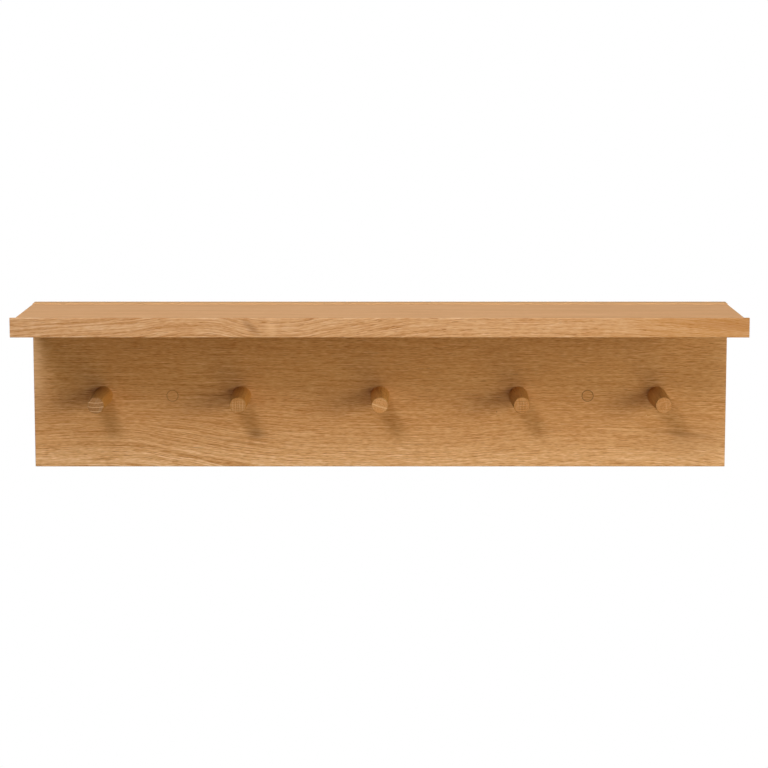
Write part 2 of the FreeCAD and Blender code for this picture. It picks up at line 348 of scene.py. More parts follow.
@dataclass(frozen=True)
class OiledOak:
    """European oak, planed or turned, sanded and oiled.

    The oil leaves a soft satin, so the eye sees warm year rings broken into short fibres, fine dark
    pores that run as dashes along the grain, and rays as pale hairlines where the grain ends.

    The depths say how far each layer shifts the tone, where 0 is dark, 0.5 middle and 1 pale. figure
    multiplies the rings', streaks' and bands' depths at the lower and the upper of the log's
    edges_mm, and bold multiplies them along the rail, as pairs of a share of the length and a factor.
    shade makes the wood paler, as pairs of a share of the height and a strength. The tints multiply
    the colour on the long sides and on the end grain, which take oil differently. end_facing says how
    far a face must look along the grain to be side grain no more, and to be end grain. spell is how
    many years good and bad times last, and unevenness how far they shift a ring, in rings.
    break_mm is the size of the breaks in a ring, and break_depth their shift, in rings. ray_mm is the
    rays' length, height and distance. The limits say which part of a noise is a pore or a ray. The
    finest fibres and pores are drawn about three times as wide as they are, so that they show.
    """

    name: str
    log: Log
    pale: str = "#E9BE8C"
    middle: str = "#CB9862"
    dark: str = "#A16B35"
    pore_colour: str = "#84501E"
    ray_colour: str = "#E3BE90"
    side_tint: str = "#FFFFFF"
    end_tint: str = "#F3F3F3"
    end_facing: Pair = (0.6, 0.9)
    fibre: Layer = Layer(0.8, (6.0, 0.65))
    thread: Layer = Layer(0.55, (60.0, 0.75))
    streak: Layer = Layer(0.16, (90.0, 3.0))
    band: Layer = Layer(0.12, (260.0, 14.0))
    pore: Layer = Layer(0.6, (9.0, 0.6))
    pore_limits: Pair = (0.58, 0.7)
    ring_depth: float = 0.12
    spell: float = 4.5
    unevenness: float = 5.0
    break_mm: Pair = (50.0, 2.6)
    break_depth: float = 1.6
    ray_depth: float = 0.5
    ray_mm: Triple = (14.0, 9.0, 0.9)
    ray_limits: Pair = (0.5, 0.68)
    figure: Pair = (1.0, 1.0)
    bold: tuple[Pair, ...] = ()
    shade: tuple[Pair, ...] = ()
    roughness: Pair = (0.49, 0.63)
    gloss: float = 0.25
    relief_mm: float = 0.06
    relief_strength: float = 0.35
    marks: tuple[Mark, ...] = ()

    def rings(self, tree: Tree, place: Socket) -> tuple[Socket, Socket]:
        """Works out the year rings: the distance from the heart, counted in ring widths.

        Args:
            tree: the material's node tree.
            place: the output with the place in the log.

        Returns:
            The outputs with the distance in mm and with the place in the ring, from 0 to 1.
        """
        spoke = add_node(tree, VECTOR_MATH, {0: place, 1: (0, 1, 1)}, operation="MULTIPLY").outputs[0]
        distance = add_node(tree, VECTOR_MATH, {0: spoke}, operation="LENGTH").outputs["Value"]
        width = self.log.ring_mm
        spells = {"W": distance, "Scale": 1 / (self.spell * width)}
        years = add_node(tree, NOISE, spells, noise_dimensions="1D").outputs[0]
        breaks = grain_noise(tree, place, self.break_mm).outputs[0]
        pushed = distance
        for push, rings in ((years, self.unevenness), (breaks, self.break_depth)):
            pushes = {0: push, 1: rings * width, 2: pushed}
            pushed = add_node(tree, MATH, pushes, operation="MULTIPLY_ADD").outputs[0]
        count = add_node(tree, MATH, {0: pushed, 1: width}, operation="DIVIDE").outputs[0]
        return distance, add_node(tree, MATH, {0: count}, operation="FRACT").outputs[0]

    def rays(self, tree: Tree, place: Socket, distance: Socket) -> Socket:
        """Works out the rays: thin sheets that stand out from the heart along the grain.

        Args:
            tree: the material's node tree.
            place: the output with the place in the log.
            distance: the output with the distance from the heart.

        Returns:
            The output with the rays' strength.
        """
        split = add_node(tree, "ShaderNodeSeparateXYZ", {0: place}).outputs
        angle = add_node(tree, MATH, {0: split["Z"], 1: split["Y"]}, operation="ARCTAN2").outputs[0]
        polar = {"X": split["X"], "Y": distance, "Z": angle}
        sheet = add_node(tree, "ShaderNodeCombineXYZ", polar).outputs[0]
        length, height, gap = self.ray_mm
        cell = (1 / length, 1 / height, math.hypot(*self.log.heart_mm) / gap)
        counted = add_node(tree, VECTOR_MATH, {0: sheet, 1: cell}, operation="MULTIPLY").outputs[0]
        sheets = add_node(tree, NOISE, {"Vector": counted, "Scale": 1, "Detail": 0}).outputs[0]
        none, full = self.ray_limits
        limits = {"Value": sheets, "From Min": none, "From Max": full, "To Max": self.ray_depth}
        return add_node(tree, MAP_RANGE, limits).outputs[0]

    @staticmethod
    def share(tree: Tree, axis: str, ends_mm: Pair) -> Socket:
        """Works out how far along an axis a place lies between two ends.

        Args:
            tree: the material's node tree.
            axis: X or Z.
            ends_mm: where the share is 0 and where it is 1.

        Returns:
            The output with the share.
        """
        place = add_node(tree, "ShaderNodeTexCoord").outputs["Object"]
        along = add_node(tree, "ShaderNodeSeparateXYZ", {0: place}).outputs[axis]
        low, high = (end * MM for end in ends_mm)
        return add_node(tree, MAP_RANGE, {"Value": along, "From Min": low, "From Max": high}).outputs[0]

    def build(self) -> Material:
        """Makes the material.

        Returns:
            The material, which reads Object coordinates only.
        """
        material, tree = new_material(self.name)
        place, fibres = self.log.lay(tree)
        distance, phase = self.rings(tree, place)
        year = add_node(tree, "ShaderNodeFloatCurve", {"Value": phase}, points=YEAR).outputs[0]
        fibre, thread, pore = (
            grain_noise(tree, fibres, layer.size_mm).outputs[0]
            for layer in (self.fibre, self.thread, self.pore)
        )
        streak, band = (
            grain_noise(tree, place, layer.size_mm).outputs[0] for layer in (self.streak, self.band)
        )
        height = self.share(tree, "Z", self.log.edges_mm)
        low, high = self.figure
        swell = add_node(tree, MAP_RANGE, {"Value": height, "To Min": low, "To Max": high}).outputs[0]
        if self.bold:
            half = self.log.span_mm / 2
            lengthwise = traced(tree, self.share(tree, "X", (-half, half)), self.bold)
            swell = add_node(tree, MATH, {0: swell, 1: lengthwise}, operation="MULTIPLY").outputs[0]
        layers = (
            (year, YEAR_MEAN, -self.ring_depth, True),
            (streak, 0.5, self.streak.depth, True),
            (band, 0.5, self.band.depth, True),
            (fibre, 0.5, self.fibre.depth, False),
            (thread, 0.5, self.thread.depth, False),
        )
        tone = 0.5
        for pattern, mean, depth, swells in layers:
            shift = add_node(tree, MATH, {0: pattern, 1: mean}, operation="SUBTRACT").outputs[0]
            if swells:
                depth = add_node(tree, MATH, {0: swell, 1: depth}, operation="MULTIPLY").outputs[0]
            tone = add_node(tree, MATH, {0: shift, 1: depth, 2: tone}, operation="MULTIPLY_ADD").outputs[0]
        stops = ((0, linear(self.dark)), (1, linear(self.pale)), (0.5, linear(self.middle)))
        colour = add_node(tree, "ShaderNodeValToRGB", {0: tone}, stops).outputs[0]
        if self.shade:
            gain = add_node(tree, VECTOR_MATH, {0: colour, 1: PALER_WOOD}, operation="MULTIPLY").outputs[0]
            shaded = {0: gain, "Scale": traced(tree, height, self.shade)}
            gain = add_node(tree, VECTOR_MATH, shaded, operation="SCALE").outputs[0]
            colour = add_node(tree, VECTOR_MATH, {0: colour, 1: gain}).outputs[0]
        none, full = self.pore_limits
        limits = {"Value": pore, "From Min": none, "From Max": full, "To Max": self.pore.depth}
        dashes = add_node(tree, MAP_RANGE, limits).outputs[0]
        pores = add_node(tree, MATH, {0: dashes, 1: year}, operation="MULTIPLY").outputs[0]
        normal = add_node(tree, "ShaderNodeNewGeometry").outputs["Normal"]
        looks = {0: normal, 1: self.log.grain.value[0]}
        facing = add_node(tree, VECTOR_MATH, looks, operation="DOT_PRODUCT").outputs["Value"]
        across = add_node(tree, MATH, {0: facing}, operation="ABSOLUTE").outputs[0]
        none, full = self.end_facing
        end = add_node(tree, MAP_RANGE, {"Value": across, "From Min": none, "From Max": full}).outputs[0]
        seen = {0: self.rays(tree, place, distance), 1: end}
        rays = add_node(tree, MATH, seen, operation="MULTIPLY").outputs[0]
        for share, line in ((pores, self.pore_colour), (rays, self.ray_colour)):
            lines = {"Factor": share, 6: colour, 7: linear(line)}
            colour = add_node(tree, MIX, lines, data_type="RGBA").outputs[2]
        tints = {"Factor": end, 6: linear(self.side_tint), 7: linear(self.end_tint)}
        tint = add_node(tree, MIX, tints, data_type="RGBA").outputs[2]
        colour = add_node(tree, VECTOR_MATH, {0: colour, 1: tint}, operation="MULTIPLY").outputs[0]
        for mark in self.marks:
            colour = mark.lay(tree, colour)
        relief = add_node(tree, MATH, {0: pores, 1: -1, 2: fibre}, operation="MULTIPLY_ADD").outputs[0]
        bumps = {"Height": relief, "Strength": self.relief_strength, "Distance": self.relief_mm * MM}
        bump = add_node(tree, "ShaderNodeBump", bumps).outputs[0]
        smooth, coarse = self.roughness
        rough = add_node(tree, MAP_RANGE, {"Value": streak, "To Min": smooth, "To Max": coarse}).outputs[0]
        oiled = {"Base Color": colour, "Roughness": rough, "Normal": bump}
        oiled |= {"IOR": 1.5, "Specular IOR Level": self.gloss}
        shader = add_node(tree, "ShaderNodeBsdfPrincipled", oiled).outputs[0]
        add_node(tree, "ShaderNodeOutputMaterial", {0: shader})
        return material


@dataclass(frozen=True)
class RawBeech:
    """Beech rod, turned and left raw: an even pale pink-brown with tiny darker flecks, quite matt."""

    name: str
    body: str = "#DDBE94"
    fleck: str = "#B98E62"
    fleck_mm: Pair = (2.5, 0.35)
    roughness: float = 0.75
    relief_mm: float = 0.05
    relief_strength: float = 0.3

    def build(self) -> Material:
        """Makes the material.

        Returns:
            The material, whose flecks lie along Y.
        """
        material, tree = new_material(self.name)
        place = add_node(tree, "ShaderNodeTexCoord").outputs["Object"]
        along, across = (1 / MM / length for length in self.fleck_mm)
        cell = (across, along, across)
        fine = add_node(tree, VECTOR_MATH, {0: place, 1: cell}, operation="MULTIPLY").outputs[0]
        flecks = add_node(tree, NOISE, {"Vector": fine, "Scale": 1, "Detail": 1}).outputs[0]
        stops = ((0.35, linear(self.body)), (0.72, linear(self.fleck)))
        tone = add_node(tree, "ShaderNodeValToRGB", {0: flecks}, stops).outputs[0]
        bumps = {"Height": flecks, "Strength": self.relief_strength, "Distance": self.relief_mm * MM}
        bump = add_node(tree, "ShaderNodeBump", bumps).outputs[0]
        wood = {"Base Color": tone, "Roughness": self.roughness, "Normal": bump}
        shader = add_node(tree, "ShaderNodeBsdfPrincipled", wood).outputs[0]
        add_node(tree, "ShaderNodeOutputMaterial", {0: shader})
        return material


@dataclass(frozen=True)
class ZincPlatedSteel:
    """Steel screw, cold-headed and zinc-plated: a bluish grey metal, clouded in patches."""

    name: str
    body: str = "#C3C6C6"
    cloud: str = "#A9ABA6"
    cloud_mm: float = 1.6
    roughness: Pair = (0.22, 0.5)

    def build(self) -> Material:
        """Makes the material.

        Returns:
            The material, which is rougher where it is clouded.
        """
        material, tree = new_material(self.name)
        place = add_node(tree, "ShaderNodeTexCoord").outputs["Object"]
        patches = {"Vector": place, "Scale": 1 / self.cloud_mm / MM, "Detail": 3.0}
        clouds = add_node(tree, NOISE, patches).outputs[0]
        stops = ((0.35, linear(self.body)), (0.7, linear(self.cloud)))
        tone = add_node(tree, "ShaderNodeValToRGB", {0: clouds}, stops).outputs[0]
        bright, dull = self.roughness
        rough = add_node(tree, MAP_RANGE, {"Value": clouds, "To Min": bright, "To Max": dull}).outputs[0]
        metal = {"Base Color": tone, "Metallic": 1.0, "Roughness": rough}
        shader = add_node(tree, "ShaderNodeBsdfPrincipled", metal).outputs[0]
        add_node(tree, "ShaderNodeOutputMaterial", {0: shader})
        return material


def seat(node: str) -> tuple[Pair, float, float, float]:
    """Reads where a round CAD node sits.

    Args:
        node: the node's name.

    Returns:
        Its axis's place in X and Z, its largest radius, and its front and back in Y, in metres.
    """
    low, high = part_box(node)
    middle = (low + high) / 2
    return (middle.x, middle.z), (high.x - low.x) / 2, low.y, high.y


def middle_mm(node: str) -> Triple:
    """Reads the middle of a CAD node, in mm."""
    low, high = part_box(node)
    return tuple((start + end) / 2 / MM for start, end in zip(low, high))


def turned(name: str, centre: Pair, along: np.ndarray, radii: np.ndarray, sides: int) -> Piece:
    """Makes a closed turned surface round an axis parallel to Y.

    Each point is centre + (radius cos t, place along the axis, radius sin t), with t once round, and
    a single point closes each end.

    Args:
        name: the object's name.
        centre: the axis's place in X and Z, in metres.
        along: the places in Y, a row for each ring: one for the ring, or one for each of its points.
        radii: the radii, in rows of the same kind.
        sides: how many points a ring has.

    Returns:
        The new object, at the origin.
    """
    t = np.linspace(0, 2 * np.pi, sides, endpoint=False)
    along, radii = (np.broadcast_to(rows, (len(rows), sides)) for rows in (along, radii))
    x, z = centre
    rings = np.stack([x + radii * np.cos(t), along, z + radii * np.sin(t)], axis=-1).reshape(-1, 3)
    first, last = along[0].mean(), along[-1].mean()
    points = np.vstack([rings, [(x, first, z), (x, last, z)]])
    ring = np.arange(sides)
    following = (ring + 1) % sides
    starts = (np.arange(len(along) - 1) * sides)[:, None]
    corners = (ring, following, sides + following, sides + ring)
    quads = np.stack([starts + corner for corner in corners], axis=-1).reshape(-1, 4)
    end = len(rings) - sides
    first_fan = np.stack([np.full(sides, len(rings)), following, ring], axis=-1)
    last_fan = np.stack([np.full(sides, len(rings) + 1), end + ring, end + following], axis=-1)
    faces = quads.tolist() + first_fan.tolist() + last_fan.tolist()
    if first < last:
        faces = [face[::-1] for face in faces]
    # Crisp edges are found with each ring still flat, so that a relief's own slopes stay soft.
    flat = points.copy()
    flat[:len(rings), 1] = along.mean(axis=1).repeat(sides)
    mesh = bpy.data.meshes.new(name)
    mesh.from_pydata(flat.tolist(), [], faces)
    mesh.update()
    mesh.shade_smooth()
    mesh.set_sharp_from_angle(angle=SHARP_EDGE)
    mesh.vertices.foreach_set("co", points.ravel())
    mesh.update()
    piece = bpy.data.objects.new(name, mesh)
    bpy.context.scene.collection.objects.link(piece)
    return piece


def eased_end(radius: float, ease: float, front: float, face_rings: int, edge_rings: int) -> np.ndarray:
    """Outlines a flat round end with an eased edge.

    The face runs out to radius - ease. The edge is a quarter circle: (radius - ease + ease cos t,
    front + ease + ease sin t), with t from -90 to 0 degrees.

    Args:
        radius: the end's radius.
        ease: the edge's radius.
        front: the face's place in Y.
        face_rings: how many rings lie in the face.
        edge_rings: how many lie round the edge.

    Returns:
        Rows of a radius and a place in Y.
    """
    flat = np.linspace(0, radius - ease, face_rings + 2)[1:-1]
    face = np.stack([flat, np.full(face_rings, front)], axis=-1)
    t = np.radians(np.linspace(-90, 0, edge_rings))
    edge = np.stack([radius - ease + ease * np.cos(t), front + ease + ease * np.sin(t)], axis=-1)
    return np.vstack([face, edge])


def finish_piece(piece: Piece, node: str, material: Material) -> None:
    """Dresses a new piece and puts it in place of its CAD node.

    Args:
        piece: the new object.
        node: the CAD node that it stands for.
        material: its finish.
    """
    piece.data.materials.append(material)
    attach(piece, BODY)
    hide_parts(node)
    REPORT.info("%s stands for %s with %s", piece.name, node, material.name)


@dataclass
class Boards:
    """The three flat pieces: the board on the wall, the shelf and the lip on the shelf's edge."""

    finishes: dict[str, OiledOak]

    def dress(self) -> None:
        """Gives each flat CAD node its own piece of oak."""
        for node, finish in self.finishes.items():
            material = finish.build()
            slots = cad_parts[node].data.materials
            slots.clear()
            slots.append(material)
            REPORT.info("%s has %s", node, material.name)


@dataclass
class PegRow:
    """The row of turned pegs, each a lathe surface with its tenon."""

    tip_diameter_mm: float = 17.5
    tip_ease_mm: float = 0.7
    tenon_diameter_mm: float = 12.0
    tenon_length_mm: float = 12.0
    tenon_chamfer_mm: float = 1.0
    ripple_pitch_mm: float = 1.3
    ripple_depth_mm: float = 0.02
    face_rings: int = 10
    edge_rings: int = 9
    shaft_rings: int = 119
    sides: int = 128

    def profile(self, base: float, front: float, back: float) -> np.ndarray:
        """The peg's outline from the middle of its end to the middle of the tenon's end.

        The end is flat with an eased edge, the shaft is a straight taper with a fine cosine ripple
        left by the gouge, and the tenon is a cylinder with a chamfer.

        Args:
            base: the radius at the board, in metres.
            front: the end's place in Y.
            back: the tenon end's place in Y.

        Returns:
            Rows of a radius and a place in Y.
        """
        tip, ease = self.tip_diameter_mm / 2 * MM, self.tip_ease_mm * MM
        tenon, chamfer = self.tenon_diameter_mm / 2 * MM, self.tenon_chamfer_mm * MM
        shoulder = back - self.tenon_length_mm * MM
        end = eased_end(tip, ease, front, self.face_rings, self.edge_rings)
        share = np.linspace(0, 1, self.shaft_rings + 1)[1:]
        place = front + ease + share * (shoulder - front - ease)
        ripple = np.cos(2 * np.pi * (place - front) / (self.ripple_pitch_mm * MM)) - 1
        radius = tip + share * (base - tip) + self.ripple_depth_mm * MM / 2 * ripple
        radius[-1] = base
        shaft = np.stack([radius, place], axis=-1)
        rest = [(tenon, shoulder), (tenon, back - chamfer), (tenon - chamfer, back)]
        return np.vstack([end, shaft, rest])

    def build(self, finishes: list[OiledOak]) -> None:
        """Makes the pegs.

        Args:
            finishes: one piece of oak for each peg.
        """
        for number, finish in enumerate(finishes, start=1):
            node = f"peg_{number}"
            centre, base, front, back = seat(node)
            outline = self.profile(base, front, back)
            piece = turned(f"turned_{node}", centre, outline[:, 1:], outline[:, :1], self.sides)
            finish_piece(piece, node, finish.build())


@dataclass
class CoverPlugs:
    """The two flush plugs over the wall screws."""

    ease_mm: float = 0.35
    face_rings: int = 8
    edge_rings: int = 7
    sides: int = 96

    def build(self, finishes: dict[str, OiledOak]) -> None:
        """Makes the plugs: a disc with a quarter circle round its front edge.

        Args:
            finishes: a piece of oak for each side.
        """
        for side, finish in finishes.items():
            node = f"cover_plug_{side}"
            centre, radius, front, back = seat(node)
            face = eased_end(radius, self.ease_mm * MM, front, self.face_rings, self.edge_rings)
            outline = np.vstack([face, [(radius, back), (radius / 2, back)]])
            name = f"face_grain_plug_{side}"
            piece = turned(name, centre, outline[:, 1:], outline[:, :1], self.sides)
            finish_piece(piece, node, finish.build())


@dataclass
class ShelfFixings:
    """The fluted dowels and the threaded screws between the board and the shelf.

    recess_slopes says how much of the recess's half width and half reach its walls take, point_share
    is the least share of the thread's radius, and first_ring the share of the head's radius where
    its rings begin.
    """

    dowel_count: int = 5
    screw_count: int = 4
    flutes: int = 18
    flute_depth_mm: float = 0.25
    flute_sides: int = 8
    dowel_chamfer_mm: float = 0.8
    thread_diameter_mm: float = 4.0
    thread_pitch_mm: float = 1.8
    ridge_sharpness: float = 2.2
    core_diameter_mm: float = 2.6
    shank_diameter_mm: float = 3.6
    shank_mm: float = 14.0
    rim_mm: float = 0.4
    point_mm: float = 5.0
    point_share: float = 0.04
    point_gap_mm: float = 0.1
    recess_width_mm: float = 1.3
    recess_reach_mm: float = 4.6
    recess_depth_mm: float = 1.7
    recess_slopes: Pair = (0.35, 0.6)
    first_ring: float = 0.06
    head_rings: int = 26
    pitch_rings: int = 12
    screw_sides: int = 64

    def dowel(self, number: int, material: Material) -> None:
        """Makes one dowel: a cylinder with cosine flutes that run out at its chamfered ends.

        Args:
            number: which dowel.
            material: its finish.
        """
        node = f"shelf_dowel_{number}"
        centre, radius, front, back = seat(node)
        chamfer = self.dowel_chamfer_mm * MM
        sides = self.flutes * self.flute_sides
        t = np.linspace(0, 2 * np.pi, sides, endpoint=False)
        along = [front, front, front + chamfer, back - chamfer, back, back]
        rings = [radius / 2, radius - chamfer, radius, radius, radius - chamfer, radius / 2]
        fluted = [0, 0, 1, 1, 0, 0]
        along, rings, fluted = (np.array(row)[:, None] for row in (along, rings, fluted))
        groove = (1 - np.cos(self.flutes * t)) / 2 * self.flute_depth_mm * MM
        piece = turned(f"fluted_dowel_{number}", centre, along, rings - fluted * groove, sides)
        finish_piece(piece, node, material)

    def screw(self, number: int, material: Material) -> None:
        """Makes one screw: a head with a cross recess, a plain shank, and a thread down to a point.

        The thread's radius is core + (crest - core) f, where f is a sharp ridge that repeats once a
        pitch and climbs one pitch a turn. The recess is a pit over the places in the head that lie
        within half its width of either of two crossed lines.

        Args:
            number: which screw.
            material: its finish.
        """
        node = f"shelf_screw_{number}"
        centre, head, tip, top = seat(node)
        crest, core = self.thread_diameter_mm / 2 * MM, self.core_diameter_mm / 2 * MM
        shank, pitch = self.shank_diameter_mm / 2 * MM, self.thread_pitch_mm * MM
        rim = top - self.rim_mm * MM
        neck = rim - (head - crest)
        thread_top = top - self.shank_mm * MM
        t = np.linspace(0, 2 * np.pi, self.screw_sides, endpoint=False)
        turns = np.arange(thread_top, tip + self.point_gap_mm * MM, -pitch / self.pitch_rings)[:, None]
        wave = ((turns / pitch + t / (2 * np.pi)) % 1.0) * 2 - 1
        ridge = np.clip(1 - np.abs(wave) * self.ridge_sharpness, 0, 1)
        narrowing = np.clip((turns - tip) / (self.point_mm * MM), self.point_share, 1)
        thread = (core + (crest - core) * ridge) * narrowing
        thread[0] = shank
        face = np.linspace(self.first_ring, 1, self.head_rings)[:, None] * head
        arms = np.sort([np.abs(np.cos(t)), np.abs(np.sin(t))], axis=0)
        beside_arm, along_arm = arms[0] * face, arms[1] * face
        width, reach = self.recess_width_mm / 2 * MM, self.recess_reach_mm / 2 * MM
        wall, run_out = self.recess_slopes
        beside = np.clip((width - beside_arm) / (wall * width) + 0.5, 0, 1)
        within = np.clip((reach - along_arm) / (run_out * reach), 0, 1)
        pit = beside * within * self.recess_depth_mm * MM
        rows = ((face, top - pit), (head, rim), (shank, neck), (thread, turns))
        once_round = np.ones((1, self.screw_sides))
        radii, along = (np.vstack([row * once_round for row in part]) for part in zip(*rows))
        piece = turned(f"wood_screw_{number}", centre, along, radii, self.screw_sides)
        finish_piece(piece, node, material)

    def build(self) -> None:
        """Makes every dowel and screw."""
        beech = RawBeech("turned_raw_beech").build()
        zinc = ZincPlatedSteel("zinc_plated_steel").build()
        for number in range(1, self.dowel_count + 1):
            self.dowel(number, beech)
        for number in range(1, self.screw_count + 1):
            self.screw(number, zinc)


@dataclass(frozen=True)
class SoftLight:
    """One large studio light: its place, its width and height, its power and what it looks at."""

    name: str
    place: Triple
    size: Pair
    watts: float
    colour: str = "#FFFFFF"
    aim: Triple = (0.0, 0.0, 0.0)

    def build(self) -> None:
        """Hangs the light."""
        data = bpy.data.lights.new(self.name, "AREA")
        data.shape = "RECTANGLE"
        data.size, data.size_y = self.size
        data.energy = self.watts
        data.color = linear(self.colour)[:3]
        lamp = bpy.data.objects.new(self.name, data)
        lamp.location = self.place
        direction = Vector(self.aim) - Vector(self.place)
        lamp.rotation_euler = direction.to_track_quat("-Z", "Y").to_euler()
        bpy.context.scene.collection.objects.link(lamp)


@dataclass
class Studio:
    """The white room: a pale floor far below, a white backdrop, soft lights and the camera."""

    floor_height: float = -1.4
    backdrop_radius: float = 30.0
    ambient: float = 0.04
    camera_place: Triple = (0.00727, -2.34225, 0.3914)
    camera_pitch: float = 0.1189
    lens_mm: float = 101.88
    sensor_mm: float = 36.0
    shift: Pair = (-0.0036, -0.12)
    lights: tuple[SoftLight, ...] = (
        SoftLight("key", (-0.66, -2.3, 1.43), (0.65, 0.5), 22.5, "#FFFDFF"),
        SoftLight("right_near", (1.9, -2, 0.42), (0.8, 0.8), 12.5, "#FFF6DD"),
        SoftLight("right_big", (1.9, -2, 0.3), (1.6, 1.4), 14, "#FFF6DD"),
        SoftLight("front_right", (1, -2.4, 0), (1, 1), 4.3, "#FFEEBB"),
        SoftLight("under_fill", (0, -2.2, -1.3), (3.2, 1.4), 7.8, "#FFDFA2"),
        SoftLight("under_right", (0.9, -2.2, -1.3), (1.6, 1.4), 8.7, "#FFDFA2"),
        SoftLight("upper_right", (0.6, -2.15, 1.4), (0.8, 0.8), 5.4, "#F4F4FF"),
        SoftLight("overhead", (0, -0.6, 2.4), (2, 0.8), 52, aim=(0, -0.1, 0)),
        SoftLight("behind", (0.4, 2.4, -0.9), (2, 1), 40),
        SoftLight("left_end", (-2.2, 1.6, 0.2), (0.8, 1.2), 25),
    )

    @staticmethod
    def glowing_white(name: str) -> Material:
        """Makes the plain paper white of the floor or the backdrop.

        Args:
            name: the material's name.

        Returns:
            The material.
        """
        material, tree = new_material(name)
        white = {"Color": linear("#FFFFFF"), "Strength": 1}
        glow = add_node(tree, "ShaderNodeEmission", white).outputs[0]
        add_node(tree, "ShaderNodeOutputMaterial", {0: glow})
        return material

    def surround(self) -> None:
        """Makes the floor and the backdrop, which the camera sees and which light nothing."""
        side = self.backdrop_radius
        mesh = bpy.data.meshes.new("floor")
        corners = [(-side, -side), (side, -side), (side, side), (-side, side)]
        mesh.from_pydata([(x, y, self.floor_height) for x, y in corners], [], [(0, 1, 2, 3)])
        floor = bpy.data.objects.new("floor", mesh)
        mesh.materials.append(self.glowing_white("pale_floor_paint"))
        bpy.ops.mesh.primitive_uv_sphere_add(segments=48, ring_count=24, radius=side)
        backdrop = bpy.context.object
        backdrop.name = "backdrop"
        backdrop.data.materials.append(self.glowing_white("white_backdrop_paint"))
        bpy.context.scene.collection.objects.link(floor)
        for item in (floor, backdrop):
            item.visible_diffuse = item.visible_glossy = item.visible_shadow = False

    def camera(self) -> None:
        """Puts the camera where the photograph was taken from."""
        data = bpy.data.cameras.new("camera")
        data.lens = self.lens_mm
        data.sensor_width = self.sensor_mm
        data.shift_x, data.shift_y = self.shift
        data.clip_end = 4 * self.backdrop_radius
        eye = bpy.data.objects.new("camera", data)
        eye.location = self.camera_place
        eye.rotation_euler = (math.pi / 2 - self.camera_pitch, 0.0, 0.0)
        bpy.context.scene.collection.objects.link(eye)
        bpy.context.scene.camera = eye

    def build(self) -> None:
        """Sets the whole room up."""
        world = bpy.data.worlds.new("soft_daylight")
        world.use_nodes = True
        sky = world.node_tree.nodes["Background"].inputs
        sky["Color"].default_value = linear("#FFFFFF")
        sky["Strength"].default_value = self.ambient
        bpy.context.scene.world = world
        bpy.context.scene.view_settings.view_transform = "Standard"
        self.surround()
        self.camera()
        for light in self.lights:
            light.build()


